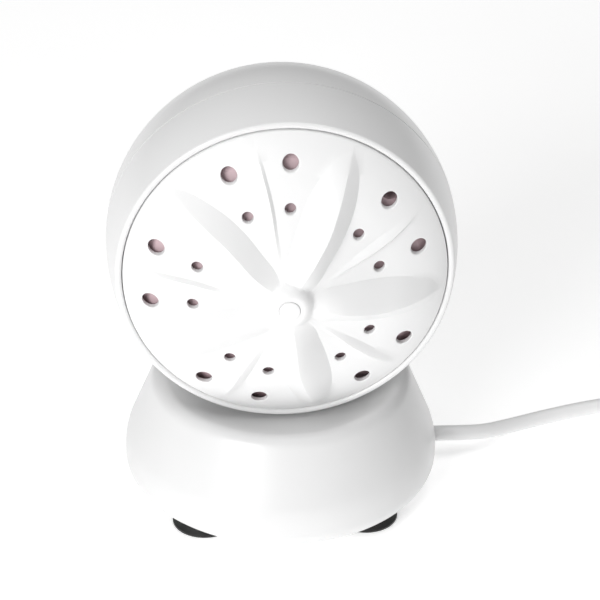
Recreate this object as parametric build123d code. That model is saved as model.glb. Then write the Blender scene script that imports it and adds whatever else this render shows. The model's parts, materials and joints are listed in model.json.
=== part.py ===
from build123d import *
import math
import os

os.makedirs("parts", exist_ok=True)

# A portable mini washer: a ball-shaped head with a finned impeller in its face stands on a
# cone-shaped base with four suction cups, and is fed by a USB lead.
#
# Frame, in millimetres: +Z up, the impeller faces -Y, and the origin is on the surface that
# the cups stand on, under the middle of the object's box.
# Head frame: x to the right, y up and z out of the face, from the centre of the impeller's
# front edge. Base frame: x, y and z as in the main frame, from the base's own axis.

# ---- Driving dimensions
HEAD_RADIUS = 54.5
HEAD_AXIS_Z = 88.0
FACE_AHEAD = 21.5           # the impeller's front edge, ahead of the ball's centre
WALL = 2.2
BASE_RADIUS = 50.0
IMPELLER_RADIUS = 49.3
FACE_BORE = 49.9            # the opening that the impeller turns in
FIT = 0.05                  # radial clearance of a running fit

BODY_Y = (BASE_RADIUS - HEAD_RADIUS) / 2
FACE_Y = BODY_Y - FACE_AHEAD
HEAD = Location((0, FACE_Y, HEAD_AXIS_Z), (90, 0, 0))
BASE = Location((0, BODY_Y, 0))
SEAM_Z = -FACE_AHEAD        # the seam between the housings, in the head frame


# ---- Shared shapes
def turned(*corners):
    """A solid of revolution about Z, from its outline as (radius, height) corners."""
    points = [(radius, 0, height) for radius, height in corners]
    return revolve(make_face(Polyline(*points, close=True)), Axis.Z)


def rod(radius, low, high, x=0.0, y=0.0):
    """A round bar along Z between two heights."""
    return Pos(x, y, (low + high) / 2) * Cylinder(radius, high - low)


def ring(inner, outer, low, high, x=0.0, y=0.0):
    """A round tube along Z between two heights."""
    return rod(outer, low, high, x, y) - rod(inner, low, high, x, y)


def block(x_size, y_size, low, high, x=0.0, y=0.0):
    """A box that stands between two heights."""
    return Pos(x, y, (low + high) / 2) * Box(x_size, y_size, high - low)


def around(radius, angle):
    """The x and y of a point on a circle, with its angle in degrees."""
    turn = math.radians(angle)
    return radius * math.cos(turn), radius * math.sin(turn)


def screw(shank, head, seat, tip, head_height, x=0.0, y=0.0):
    """A pan-head screw along Z: the head stands on its seat and the shank runs to the tip."""
    outward = 1 if seat > tip else -1
    crown = seat + outward * head_height
    body = rod(shank, min(seat, tip), max(seat, tip), x, y)
    cap = rod(head, min(seat, crown), max(seat, crown), x, y)
    slot = block(head * 1.3, 0.5, crown - 0.6, crown + 0.6, x, y)
    cross = block(0.5, head * 1.3, crown - 0.6, crown + 0.6, x, y)
    return body + (cap - slot - cross)


def tube(points, radius, name):
    """A round cord of straight runs and tangent arcs, each as large as its runs allow."""
    points = [Vector(*point) for point in points]
    radii = []
    for before, here, after in zip(points, points[1:], points[2:]):
        turn = (here - before).get_angle(after - here)
        shorter = min((here - before).length, (after - here).length)
        radii.append(0.45 * shorter / math.tan(math.radians(turn) / 2))
    path = FilletPolyline(*points, radius=radii)
    section = Plane(origin=path @ 0, z_dir=path % 0) * Circle(radius)
    solid = sweep(section, path=path)
    ideal = math.pi * radius**2 * path.length
    print(f"{name}: length {path.length:.1f}, radii", [round(r, 1) for r in radii],
          f"volume is {solid.volume / ideal:.4f} of section times length")
    return solid


def keep(node, shape, place=Location()):
    """Write one named piece, or a group of like ones, where it belongs in the assembly."""
    if isinstance(shape, list):
        shape = Compound(children=shape)
    export_step(place * shape, f"parts/{node}.step")


# ---- Head housings
BARREL_BOW = 85.3           # radius of the front housing's bowed side
LIP = 0.9                   # the face's rim is this round
SHOULDER_Z = -0.9           # where the bowed side runs into the rim
LEDGE_BORE = 46.5
LEDGE_FRONT = -8.0
LEDGE_BACK = -10.0
POST_CIRCLE = 44.0
POST_ANGLES = (43.5, 136.5, 222.5, 317.5)
POST_RADIUS = 4.0
POST_FRONT = -7.5
POST_BACK = -33.9
PILOT = 1.35
SHANK = PILOT - 0.02
HEAD_SCREW_SEAT = POST_BACK - 2.1
SCREW_DEPTH = 10.0
NECK_RADIUS = 8.0
FLANGE_RADIUS = 11.2


def barrel(z, inset=0.0):
    """The front housing's radius at a height in the head frame."""
    bow = BARREL_BOW - inset
    return HEAD_RADIUS - inset - bow + math.sqrt(bow**2 - (z - SEAM_Z) ** 2)


def ball(radius):
    return Pos(0, 0, SEAM_Z) * Sphere(radius)


def neck_bore():
    """The hole for the neck through the underside of the head, in the head frame."""
    return Pos(0, -HEAD_RADIUS, SEAM_Z) * Rot(90, 0, 0) * Cylinder(NECK_RADIUS, 20)


def front_housing():
    def side(z, inset=0.0):
        return (barrel(z, inset), 0, z)

    mid = (SEAM_Z + SHOULDER_Z) / 2
    outer = ThreePointArc(side(SEAM_Z), side(mid), side(SHOULDER_Z))
    rim_end = (FACE_BORE, 0, SHOULDER_Z)
    rim_middle = (barrel(SHOULDER_Z) + FACE_BORE) / 2
    rim = ThreePointArc(outer @ 1, (rim_middle, 0, SHOULDER_Z + LIP), rim_end)
    bore = Polyline(rim_end, (FACE_BORE, 0, LEDGE_FRONT), (LEDGE_BORE, 0, LEDGE_FRONT),
                    (LEDGE_BORE, 0, LEDGE_BACK), side(LEDGE_BACK, WALL))
    inner = ThreePointArc(side(LEDGE_BACK, WALL), side(-16, WALL), side(SEAM_Z, WALL))
    seam = Line(inner @ 1, outer @ 0)
    body = revolve(make_face(outer + rim + bore + inner + seam), Axis.Z)
    for angle in POST_ANGLES:
        x, y = around(POST_CIRCLE, angle)
        rib = block(8.8, 2.0, -18.5, LEDGE_BACK, POST_CIRCLE + 4.4)
        body += rod(POST_RADIUS, POST_BACK, POST_FRONT, x, y) + Rot(0, 0, angle) * rib
        body -= rod(PILOT, POST_FRONT - SCREW_DEPTH, POST_FRONT, x, y)
        body -= rod(PILOT, POST_BACK, POST_BACK + SCREW_DEPTH, x, y)
    return body - neck_bore()


def rear_housing():
    shell = ball(HEAD_RADIUS) - ball(HEAD_RADIUS - WALL)
    spigot = ring(50.1, 53.0, SEAM_Z - 4, SEAM_Z) + ring(50.1, 52.1, SEAM_Z, SEAM_Z + 2.5)
    spigot -= Pos(0, -46, SEAM_Z) * Rot(90, 0, 0) * Cylinder(FLANGE_RADIUS + 0.2, 10.2)
    body = shell - rod(60, SEAM_Z, SEAM_Z + 60) + spigot
    for angle in POST_ANGLES:
        x, y = around(POST_CIRCLE, angle)
        well = rod(4.6, -62, POST_BACK, x, y) & ball(HEAD_RADIUS - 0.5)
        body += well
        body -= rod(3.2, -70, HEAD_SCREW_SEAT, x, y)
        body -= rod(1.5, HEAD_SCREW_SEAT - 1, POST_BACK, x, y)
    return body - neck_bore()


# ---- Bulkhead: the domed plate behind the impeller, which carries the shaft and the gears
PLATE_FRONT = -5.0          # the flat flange; the dome stands out of it
PLATE_DOME = ((46.2, -1.7), (41.4, 2.3), (28.8, 7.3), (12.0, 13.2), (9.5, 13.2))
PLATE_WALL = 2.2
SCREW_WELL = 3.8
BOSS_FRONT = 6.0
BOSS_BACK = -8.8
BOSS_RADIUS = 8.5
BUSH_RADIUS = 4.5
SHAFT_RADIUS = 2.5
SHAFT_HOLE = SHAFT_RADIUS + FIT
GEAR_PLATE_FRONT = -21.0
GEAR_PLATE_BACK = -23.0
CENTRE_DISTANCE = 18.0      # from the output shaft up to the idler pin
BEARING_RADIUS = 3.0        # outside of the motor's front bearing
MOTOR_SCREWS = (-8.0, 8.0)
PILLARS = ((-20.5, 5.0), (20.5, 5.0), (0.0, -19.5), (0.0, 36.8))
PIN_RADIUS = 1.5


def bulkhead():
    edge = FACE_BORE - 0.3
    foot = PLATE_DOME[0][0]
    front = [(edge, PLATE_FRONT), (foot, PLATE_FRONT), *PLATE_DOME, (BOSS_RADIUS, BOSS_FRONT)]
    back = [(BOSS_RADIUS, BOSS_FRONT - PLATE_WALL), (10.9, BOSS_FRONT - PLATE_WALL), (11.7, 10.3)]
    back += [(radius, height - PLATE_WALL) for radius, height in PLATE_DOME[-2:0:-1]]
    back += [(foot - PLATE_WALL, -2.6), (foot - PLATE_WALL, POST_FRONT), (edge, POST_FRONT)]
    under_front = turned(*front, (0, BOSS_FRONT), (0, GEAR_PLATE_FRONT), (edge, GEAR_PLATE_FRONT))
    body = turned(*front, *back) + rod(BOSS_RADIUS, BOSS_BACK, BOSS_FRONT)
    body += rod(3.5, -8.6, 20, 0, CENTRE_DISTANCE) & under_front
    for x, y in PILLARS:
        body += rod(2.8, GEAR_PLATE_FRONT, 20, x, y) & under_front
        body -= rod(1.0, GEAR_PLATE_FRONT, GEAR_PLATE_FRONT + 8, x, y)
    for angle in POST_ANGLES:
        x, y = around(POST_CIRCLE, angle)
        body += rod(SCREW_WELL + 1.6, POST_FRONT, 20, x, y) & under_front
        body -= rod(SCREW_WELL, PLATE_FRONT, 20, x, y)
        body -= rod(1.5, POST_FRONT, PLATE_FRONT, x, y)
    body -= rod(BUSH_RADIUS, BOSS_BACK, 2.5)
    body -= rod(7.0, 2.5, BOSS_FRONT)
    return body - rod(PIN_RADIUS, -8.6, -6.2, 0, CENTRE_DISTANCE)


def gear_plate():
    spots = Sketch() + [Pos(x, y) * Circle(5.2) for x, y in PILLARS]
    outline = make_hull(spots.edges())
    body = Pos(0, 0, GEAR_PLATE_BACK) * extrude(outline, GEAR_PLATE_FRONT - GEAR_PLATE_BACK)
    for x, y in PILLARS:
        body -= rod(1.2, GEAR_PLATE_BACK, GEAR_PLATE_FRONT, x, y)
    body -= rod(BEARING_RADIUS + 0.4, GEAR_PLATE_BACK, GEAR_PLATE_FRONT)
    body -= rod(PIN_RADIUS, GEAR_PLATE_BACK, GEAR_PLATE_FRONT, 0, CENTRE_DISTANCE)
    for x in MOTOR_SCREWS:
        body -= rod(1.1, GEAR_PLATE_BACK, GEAR_PLATE_FRONT, x)
    return body


# ---- Gears: motor pinion to idler wheel, idler pinion to output gear, on one centre distance
MODULE = 0.6
PRESSURE = math.radians(25)
BACKLASH = 0.05
OUTPUT_TEETH = 44
IDLER_SMALL_TEETH = 16
IDLER_LARGE_TEETH = 46
MOTOR_TEETH = 14


def gear(teeth, low, high, phase):
    """A spur gear about Z with involute flanks; phase is the angle of one tooth's middle."""
    pitch = MODULE * teeth / 2
    base = pitch * math.cos(PRESSURE)
    tip = pitch + 0.92 * MODULE
    root = pitch - 1.2 * MODULE
    half = math.pi / (2 * teeth) - BACKLASH / (2 * pitch)

    def involute(angle):
        return math.tan(angle) - angle

    def half_angle(radius):
        slope = math.acos(min(1.0, base / radius))
        return half + involute(PRESSURE) - involute(slope)

    start = max(base, root)
    rise = [start + (tip - start) * step / 4 for step in range(5)]
    flank = [(r, half_angle(r)) for r in rise]
    if base > root:
        flank.insert(0, (root, half_angle(base)))
    corners = []
    for tooth in range(teeth):
        middle = math.radians(phase) + tooth * 2 * math.pi / teeth
        near = [(r, middle - side) for r, side in flank]
        far = [(r, middle + side) for r, side in reversed(flank)]
        corners += [(r * math.cos(a), r * math.sin(a), low) for r, a in near + far]
    return extrude(make_face(Polyline(*corners, close=True)), high - low, dir=(0, 0, 1))


def output_gear():
    hub = rod(5.0, -9.5, -9.1)
    return gear(OUTPUT_TEETH, -14.3, -9.5, 90) + hub - rod(SHAFT_RADIUS, -15, -9)


def idler_gear():
    small = gear(IDLER_SMALL_TEETH, -15.4, -9.2, -90 + 180 / IDLER_SMALL_TEETH)
    large = gear(IDLER_LARGE_TEETH, -19.4, -15.4, -90 + 180 / IDLER_LARGE_TEETH)
    boss = rod(3.0, -20.7, -19.4)
    return small + large + boss - rod(PIN_RADIUS + FIT, -21, -9)


def motor_pinion():
    return gear(MOTOR_TEETH, -19.9, -15.4, 90) - rod(1.0, -20, -15)


# ---- Impeller: a domed shell with five swirled fins, five thin ribs and twenty flow holes
SHELL = 2.2
DOME = ((49.3, 0.0), (48.6, 1.2), (41.8, 5.9), (28.8, 10.9), (12.0, 16.9), (6.3, 18.9))
HUB_RADIUS = 6.3
HUB_TOP = 22.0
SKIRT = -3.0
FINS = 5
FIRST_FIN = 65.5
# radius, then the angles of the fin's two feet and crest from its middle, then its height
FIN_SECTIONS = (
    (8.0, -34, -9, 30, 3.4),
    (17.0, -20, -8, 15, 5.2),
    (25.0, -18, -7, 14, 5.2),
    (33.0, -13, -5, 12, 4.2),
    (40.0, -8, -2.5, 7.5, 2.6),
    (47.0, -0.8, 0, 0.8, 0.4),
)
HOLE_RINGS = ((41.6, 2.5), (28.8, 1.75))
HOLE_SPREAD = 13.0
SHAFT_TOP = 14.5
SCREW_SEAT = 16.0
CAP_RADIUS = 3.2


def dome_height(radius):
    """The height of the dome's outside at a radius, by straight steps between its points."""
    for (far, low), (near, high) in zip(DOME, DOME[1:]):
        if near <= radius <= far:
            return low + (high - low) * (far - radius) / (far - near)
    return DOME[-1][1]


def fin(middle):
    sections = []
    for radius, near, crest, far, height in FIN_SECTIONS:
        foot = dome_height(radius) - 1.2
        corners = [
            (*around(radius, middle + near), foot),
            (*around(radius, middle + crest), foot + 1.2 + height),
            (*around(radius, middle + far), foot),
        ]
        sections.append(make_face(Polyline(*corners, close=True)))
    return loft(sections, ruled=True)


def impeller():
    outside = [*DOME, (HUB_RADIUS, HUB_TOP - 1), (HUB_RADIUS - 1, HUB_TOP), (0, HUB_TOP)]
    inside = [(0, 12.0), (12.0, 16.9 - SHELL), (28.8, 10.9 - SHELL), (41.4, 5.9 - SHELL),
              (47.0, -0.8), (47.0, SKIRT), (IMPELLER_RADIUS, SKIRT)]
    body = turned(*outside, *inside) + rod(5.8, 6.6, 15)
    for number in range(FINS):
        middle = FIRST_FIN + number * 360 / FINS
        body += fin(middle)
        rib = turned((22, 10.5), (45, 1.5), (45, 3.2), (40, 6.4), (28.8, 10.8), (22, 13.2))
        sector = middle + 180 / FINS
        body += rib & (Rot(0, 0, sector) * block(30, 1.2, 0, 20, 34))
    for circle, radius in HOLE_RINGS:
        for number in range(FINS):
            sector = FIRST_FIN + (number + 0.5) * 360 / FINS
            for angle in (sector - HOLE_SPREAD, sector + HOLE_SPREAD):
                body -= rod(radius, -5, 25, *around(circle, angle))
    body -= rod(SHAFT_RADIUS, 0, SHAFT_TOP)
    body -= rod(1.6, SHAFT_TOP, SCREW_SEAT)
    return body - rod(CAP_RADIUS, SCREW_SEAT, HUB_TOP + 1)


def hub_cap():
    plug = ring(2.4, CAP_RADIUS, 18.4, HUB_TOP - 1.0)
    crown = turned((0, HUB_TOP - 1.0), (CAP_RADIUS, HUB_TOP - 1.0), (CAP_RADIUS, HUB_TOP),
                   (2.4, HUB_TOP + 0.4), (0, HUB_TOP + 0.5))
    return plug + crown


def output_shaft():
    body = rod(SHAFT_RADIUS, -15.0, SHAFT_TOP)
    body -= rod(1.2, 4.5, SHAFT_TOP)
    return body - ring(2.0, 4.0, -14.9, -14.4)


# ---- Motor: a small brushed motor behind the gear plate, on the head's axis
CAN_RADIUS = 12.0
CAN_FRONT = GEAR_PLATE_BACK
CAN_BACK = -53.0
MOTOR_SHAFT = 1.0
POLES = 3
STACK_FRONT = -30.0         # the armature's iron
STACK_BACK = -46.0
ARMATURE_RADIUS = 8.5
POLE_WIDTH = 3.4
MAGNET_INNER = 8.9
CAN_WALL = 1.0
CAN_FLOOR = 1.2             # thickness of the can's front and of the end cap's recess
BRUSH_REACH = 5.6
TERMINAL_REACH = 6.0


def motor_can():
    inside = CAN_RADIUS - CAN_WALL
    floor = CAN_FRONT - CAN_FLOOR
    body = turned((CAN_RADIUS, CAN_FRONT), (CAN_RADIUS, CAN_BACK), (inside, CAN_BACK),
                  (inside, floor), (BEARING_RADIUS, floor), (BEARING_RADIUS, CAN_FRONT))
    for x in MOTOR_SCREWS:
        body -= rod(0.9, floor, CAN_FRONT, x)
    return body


def motor_magnets():
    whole = ring(MAGNET_INNER, CAN_RADIUS - CAN_WALL, STACK_BACK - 2, STACK_FRONT + 2)
    gap = block(3 * CAN_RADIUS, 7, CAN_BACK, CAN_FRONT)
    return list((whole - gap).solids())


def armature_core():
    body = rod(3.4, STACK_BACK, STACK_FRONT)
    shoe_ring = ring(6.2, ARMATURE_RADIUS, STACK_BACK, STACK_FRONT)
    for number in range(POLES):
        turn = Rot(0, 0, number * 360 / POLES)
        body += turn * block(6.0, POLE_WIDTH, STACK_BACK, STACK_FRONT, 4.5)
        between = Rot(0, 0, (number + 0.5) * 360 / POLES)
        shoe_ring -= between * block(12, 1.6, STACK_BACK, STACK_FRONT, ARMATURE_RADIUS)
    return body + shoe_ring - rod(MOTOR_SHAFT, STACK_BACK, STACK_FRONT)


def armature_windings():
    middle = 4.25           # how far from the shaft's axis a coil stands on its pole
    coils = []
    for number in range(POLES):
        coil = block(1.5, 6.4, STACK_BACK - 1.5, STACK_FRONT + 1.5, middle)
        coil -= block(2.0, POLE_WIDTH, STACK_BACK, STACK_FRONT, middle)
        coils.append(Rot(0, 0, number * 360 / POLES) * coil)
    return coils


def motor_end_cap():
    back = CAN_BACK - CAN_FLOOR
    body = rod(CAN_RADIUS, back, CAN_BACK) + rod(5.0, back - 1.3, back)
    body -= rod(MOTOR_SHAFT + FIT, back - 1.3, CAN_BACK)
    for x in (-TERMINAL_REACH, TERMINAL_REACH):
        body -= block(0.8, 4.0, back, CAN_BACK, x)
    return body


def motor_brushes():
    brush = block(5.0, 2.6, CAN_BACK, CAN_BACK + 2.4)
    return [Pos(x, 0, 0) * brush for x in (-BRUSH_REACH, BRUSH_REACH)]


def motor_terminals():
    return [block(0.8, 4.0, CAN_BACK - 5.5, CAN_BACK, x)
            for x in (-TERMINAL_REACH, TERMINAL_REACH)]


# ---- Base: a conical shell with a dished top, a bowl-shaped cover and four suction cups
UNDERSIDE = 3.5
PARTING = 12.0
RIM_RADIUS = 40.4
RIM_Z = 39.6
DISH_RADIUS = 112.0
DISH_LOW = 32.6
BOWL_ROUND = 6.75
CUP_PITCH = 51.2
CUP_RADIUS = 10.2
CUP_ROOF = 5.8
CUP_ROOF_TOP = 8.0
CUP_NECK = 3.1
BASE_SCREWS = ((0.0, 32.0), (0.0, -32.0), (-32.0, 0.0), (32.0, -7.0))
BASE_SCREW_SEAT = 6.2
BASE_POST_FOOT = 8.2
CUP_PLACES = [(side * CUP_PITCH / 2, end * CUP_PITCH / 2) for side in (-1, 1)
              for end in (-1, 1)]
NUT_LOW = 26.0
NECK_LOW = 24.0
FLANGE_LOW = 37.0


def dish(radius, drop=0.0):
    """A point of the dished top, or of the surface a little under it, in the base frame."""
    sag = DISH_RADIUS - math.sqrt(DISH_RADIUS**2 - radius**2)
    return (radius, 0, DISH_LOW + sag - drop)


def base_shell():
    lip = 39.3
    side = Polyline((BASE_RADIUS, 0, PARTING), (BASE_RADIUS, 0, 15), (RIM_RADIUS, 0, RIM_Z))
    rim = ThreePointArc(side @ 1, (40.05, 0, 40.15), dish(lip))
    top = ThreePointArc(dish(lip), dish(24), dish(NECK_RADIUS))
    under = ThreePointArc(dish(NECK_RADIUS, WALL), dish(24, WALL), dish(38.6, WALL))
    inside = Polyline(under @ 1, (47.7, 0, 14.6), (47.7, 0, PARTING), side @ 0)
    outline = side + rim + top + Line(top @ 1, under @ 0) + under + inside
    body = revolve(make_face(outline), Axis.Z)
    for x, y in BASE_SCREWS:
        body += rod(3.6, BASE_POST_FOOT, 35.4, x, y)
        body -= rod(PILOT, BASE_POST_FOOT, BASE_POST_FOOT + SCREW_DEPTH, x, y)
    return body


def base_cover():
    centre = BASE_RADIUS - BOWL_ROUND
    high = UNDERSIDE + BOWL_ROUND
    inner = BOWL_ROUND - WALL
    diagonal = math.sqrt(0.5)
    floor = Line((0, 0, UNDERSIDE), (centre, 0, UNDERSIDE))
    bowl = ThreePointArc(
        (centre, 0, UNDERSIDE),
        (centre + BOWL_ROUND * diagonal, 0, high - BOWL_ROUND * diagonal),
        (BASE_RADIUS, 0, high),
    )
    edge = Polyline((BASE_RADIUS, 0, high), (BASE_RADIUS, 0, PARTING), (47.6, 0, PARTING),
                    (47.6, 0, 13.8), (46.0, 0, 13.8), (46.0, 0, high), (47.8, 0, high))
    hollow = ThreePointArc(
        (centre + inner, 0, high),
        (centre + inner * diagonal, 0, high - inner * diagonal),
        (centre, 0, UNDERSIDE + WALL),
    )
    inside = Polyline(hollow @ 1, (0, 0, UNDERSIDE + WALL), (0, 0, UNDERSIDE))
    body = revolve(make_face(floor + bowl + edge + hollow + inside), Axis.Z)
    for x, y in CUP_PLACES:
        body += rod(10.6, 5.2, CUP_ROOF_TOP, x, y)
        body -= rod(7.0, 3.0, CUP_ROOF, x, y)
        body -= rod(CUP_NECK, CUP_ROOF, CUP_ROOF_TOP, x, y)
    for x, y in BASE_SCREWS:
        body += rod(5.0, 5.0, BASE_POST_FOOT, x, y)
        body -= rod(3.0, 3.0, BASE_SCREW_SEAT, x, y)
        body -= rod(1.5, BASE_SCREW_SEAT, BASE_POST_FOOT, x, y)
    for x, y in BOARD_POSTS:
        body += rod(2.2, 5.0, BOARD_LOW, x, y)
    for x, y in CLAMP_POSTS:
        body += rod(2.2, 5.0, CLAMP_LOW, x, y)
        body -= rod(0.9, CLAMP_LOW - 3.5, CLAMP_LOW, x, y)
    body -= EXIT * rod(GROMMET_RADIUS, GROMMET_INNER, 60)
    return body - EXIT * rod(CORD_RADIUS, TAIL_END, 60)


def suction_cup():
    bell = ((0, 2.6), (5.0, 2.2), (8.0, 1.0), (9.6, 0), (CUP_RADIUS, 0), (CUP_RADIUS, 0.7),
            (8.4, 2.2), (6.6, 3.4), (4.2, 5.2), (CUP_NECK, CUP_ROOF))
    button = ((CUP_NECK, CUP_ROOF_TOP), (4.6, CUP_ROOF_TOP), (4.0, 9.4), (0, 9.8))
    return turned(*bell, *button)


def neck_tube():
    sleeve = ring(5.5, NECK_RADIUS, NECK_LOW, FLANGE_LOW + 2.2)
    return sleeve + ring(5.5, FLANGE_RADIUS, FLANGE_LOW, FLANGE_LOW + 2.2)


def neck_nut():
    body = ring(NECK_RADIUS, 13.0, NUT_LOW, 30.6)
    for number in range(6):
        body -= Rot(0, 0, 30 + number * 60) * block(3.0, 3.0, NUT_LOW - 1, NUT_LOW + 2.5, 13.0)
    return body


# ---- Control board, internal leads and the cord's way in
BOARD_LOW = 10.0
BOARD_TOP = 11.6
BOARD_X = -8.0
BOARD_POSTS = [(BOARD_X + x, y) for x in (-14.0, 14.0) for y in (-9.5, 9.5)]
CORD_RADIUS = 2.5
CORD_HEIGHT = 7.5
EXIT_AZIMUTH = 9.0
GROMMET_RADIUS = 3.4
GROMMET_INNER = 43.0
GROMMET_FACE = 50.8
TAIL_END = 20.0
CLAMP_LOW = 10.0
CLAMP_REACH = 38.0
# Along this frame's Z axis the cord leaves the base, level and square to the base's wall.
EXIT = Location((0, 0, CORD_HEIGHT), (0, 0, EXIT_AZIMUTH)) * Location((0, 0, 0), (0, 90, 0))
CLAMP_TURN = Location((0, 0, 0), (0, 0, EXIT_AZIMUTH)) * Location((CLAMP_REACH, 0, 0))
CLAMP_POSTS = [tuple((CLAMP_TURN * Location((0, side, 0))).position)[:2]
               for side in (-6.4, 6.4)]


def control_board():
    body = block(34.0, 24.0, BOARD_LOW, BOARD_TOP, BOARD_X)
    return body - [rod(0.9, 9, 13, x, y) for x, y in BOARD_POSTS]


def board_components():
    capacitor = rod(3.5, BOARD_TOP, 20.5, BOARD_X - 9, 5)
    chip = block(6.0, 5.0, BOARD_TOP, 13.3, BOARD_X - 1, -4)
    switches = [block(5.0, 6.0, BOARD_TOP, 13.9, BOARD_X + x, 6) for x in (0.0, 6.5)]
    socket = block(5.0, 8.0, BOARD_TOP, 17.0, BOARD_X + 12, -6.8)
    return [capacitor, chip, *switches, socket]


def cord_grommet():
    body = turned((CORD_RADIUS, GROMMET_INNER), (GROMMET_RADIUS, GROMMET_INNER),
                  (GROMMET_RADIUS, GROMMET_FACE - 0.5), (GROMMET_RADIUS - 0.4, GROMMET_FACE),
                  (CORD_RADIUS, GROMMET_FACE))
    return EXIT * body


def cord_clamp():
    bar = block(5.0, 18.0, CLAMP_LOW, CLAMP_LOW + 3)
    return CLAMP_TURN * (bar - [rod(1.1, CLAMP_LOW, 14, 0, y) for y in (-6.4, 6.4)])


def clamp_screws():
    return [CLAMP_TURN * screw(0.88, 2.0, CLAMP_LOW + 3, CLAMP_LOW - 3, 1.4, 0, y)
            for y in (-6.4, 6.4)]


def motor_wire(side, colour):
    """One lead from the control board up through the neck to its motor terminal."""
    route = [
        (side * 1.6, 0.0, BOARD_TOP),
        (side * 1.6, 0.0, 46.0),
        (side * 4.0, 20.0, 58.0),
        (side * 6.0, 36.0, 68.0),
        (side * 6.0, 36.2, HEAD_AXIS_Z - 2.0),
    ]
    return tube(route, 0.6, f"wire_{colour}")


# ---- The free cord: out of the base, along the floor, into a flat two-layer coil
FLOOR_CORD = CORD_RADIUS
CORD_ROUTE = [
    (50.17, 5.70, 7.5),
    (58.07, 6.95, 7.5),
    (66.40, 10.20, 6.2),
    (75.00, 15.40, 4.0),
    (88.00, 20.60, FLOOR_CORD),
    (105.00, 25.60, FLOOR_CORD),
    (123.00, 29.20, FLOOR_CORD),
    (142.00, 31.60, FLOOR_CORD),
    (160.00, 32.80, FLOOR_CORD),
]
COIL_CENTRE = (162.6, -5.9)
COIL_OUTER = 38.75          # centre line of the outermost turn
COIL_INNER = 16.5           # centre line of the innermost turn
COIL_END_ANGLE = 30.0       # where the last turn leaves the coil, clockwise from above
PLUG_HEADING = -60.0
PLUG_Z = 4.0
END_RUN = 28.0              # from the coil's last turn to the plug
PLUG_TAIL = 10.0
PLUG_BODY = 26.0
PLUG_SHELL = 12.5


def cord_coil():
    body = ring(COIL_INNER - CORD_RADIUS, COIL_OUTER + CORD_RADIUS, 0, 4 * CORD_RADIUS)
    return Pos(*COIL_CENTRE, 0) * fillet(body.edges(), 2.0)


def end_point(run, height):
    """A point on the straight way from the coil to the plug."""
    x, y = around(COIL_OUTER, COIL_END_ANGLE)
    step_x, step_y = around(run, PLUG_HEADING)
    return (COIL_CENTRE[0] + x + step_x, COIL_CENTRE[1] + y + step_y, height)


PLUG = Location(end_point(END_RUN, PLUG_Z), (0, 0, PLUG_HEADING)) * Location((0, 0, 0), (0, 90, 0))


def usb_plug_body():
    """The moulded grip and its tapered tail; its own Z runs along the plug, its Y across."""
    tail = turned((0, 0), (2.7, 0), (3.6, PLUG_TAIL), (0, PLUG_TAIL))
    grip = block(8.0, 12.6, PLUG_TAIL, PLUG_TAIL + PLUG_BODY)
    return tail + fillet(grip.edges(), 1.6)


def usb_plug_shell():
    start = PLUG_TAIL + PLUG_BODY
    outside = block(4.5, 12.0, start, start + PLUG_SHELL)
    return outside - block(3.9, 11.4, start + 0.4, start + PLUG_SHELL)


def usb_plug_tongue():
    start = PLUG_TAIL + PLUG_BODY
    return block(1.8, 11.4, start + 0.4, start + PLUG_SHELL - 0.6, 1.05)


def coil_length():
    """The cord's length in the coil: two flat spirals and the step between their inner turns."""
    spiral_turns = (COIL_OUTER - COIL_INNER) / (2 * CORD_RADIUS)
    spiral = spiral_turns * math.pi * (COIL_OUTER + COIL_INNER)
    start = math.degrees(math.atan2(CORD_ROUTE[-1][1] - COIL_CENTRE[1],
                                    CORD_ROUTE[-1][0] - COIL_CENTRE[0]))
    whole = (start - COIL_END_ANGLE) / 360 + 9
    step = (whole - 2 * spiral_turns) * 2 * math.pi * COIL_INNER
    print(f"coil: {whole:.3f} turns, {2 * spiral + step:.0f} mm of cord")


# ---- Write every piece
keep("front_housing", front_housing(), HEAD)
keep("rear_housing", rear_housing(), HEAD)
keep("bulkhead", bulkhead(), HEAD)
keep("bulkhead_gasket", ring(48.1, FACE_BORE - 0.3, LEDGE_FRONT, POST_FRONT), HEAD)
keep("impeller", impeller(), HEAD)
keep("hub_cap", hub_cap(), HEAD)
keep("impeller_screw", screw(1.2, 2.3, SCREW_SEAT, 6.0, 1.8), HEAD)
keep("output_shaft", output_shaft(), HEAD)
keep("output_gear", output_gear(), HEAD)
keep("shaft_clip", ring(2.0, 3.6, -14.85, -14.45) - block(3.0, 8.0, -16, -13, 3.4), HEAD)
keep("front_bush", ring(SHAFT_HOLE, BUSH_RADIUS, -2.0, 2.4), HEAD)
keep("rear_bush", ring(SHAFT_HOLE, BUSH_RADIUS, BOSS_BACK, -4.4), HEAD)
keep("lip_seal", ring(SHAFT_HOLE, 7.0, 2.5, 5.6) - ring(4.0, 5.6, 4.0, 5.6), HEAD)
keep("gear_plate", gear_plate(), HEAD)
keep("idler_gear", Pos(0, CENTRE_DISTANCE, 0) * idler_gear(), HEAD)
keep("idler_pin", rod(PIN_RADIUS, GEAR_PLATE_BACK, -6.2, 0, CENTRE_DISTANCE), HEAD)
keep("gear_plate_screws",
     [screw(1.0, 2.0, GEAR_PLATE_BACK, GEAR_PLATE_FRONT + 7, 1.5, x, y) for x, y in PILLARS],
     HEAD)
keep("motor_screws",
     [screw(0.9, 1.8, GEAR_PLATE_FRONT, CAN_FRONT - CAN_FLOOR, 1.0, x)
      for x in MOTOR_SCREWS], HEAD)
keep("motor_can", motor_can(), HEAD)
keep("motor_bearing", ring(MOTOR_SHAFT + FIT, BEARING_RADIUS, -26.0, -22.0), HEAD)
keep("motor_magnets", motor_magnets(), HEAD)
keep("motor_end_cap", motor_end_cap(), HEAD)
keep("motor_brushes", motor_brushes(), HEAD)
keep("motor_terminals", motor_terminals(), HEAD)
keep("motor_shaft", rod(MOTOR_SHAFT, -54.5, -15.4), HEAD)
keep("motor_pinion", motor_pinion(), HEAD)
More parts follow.
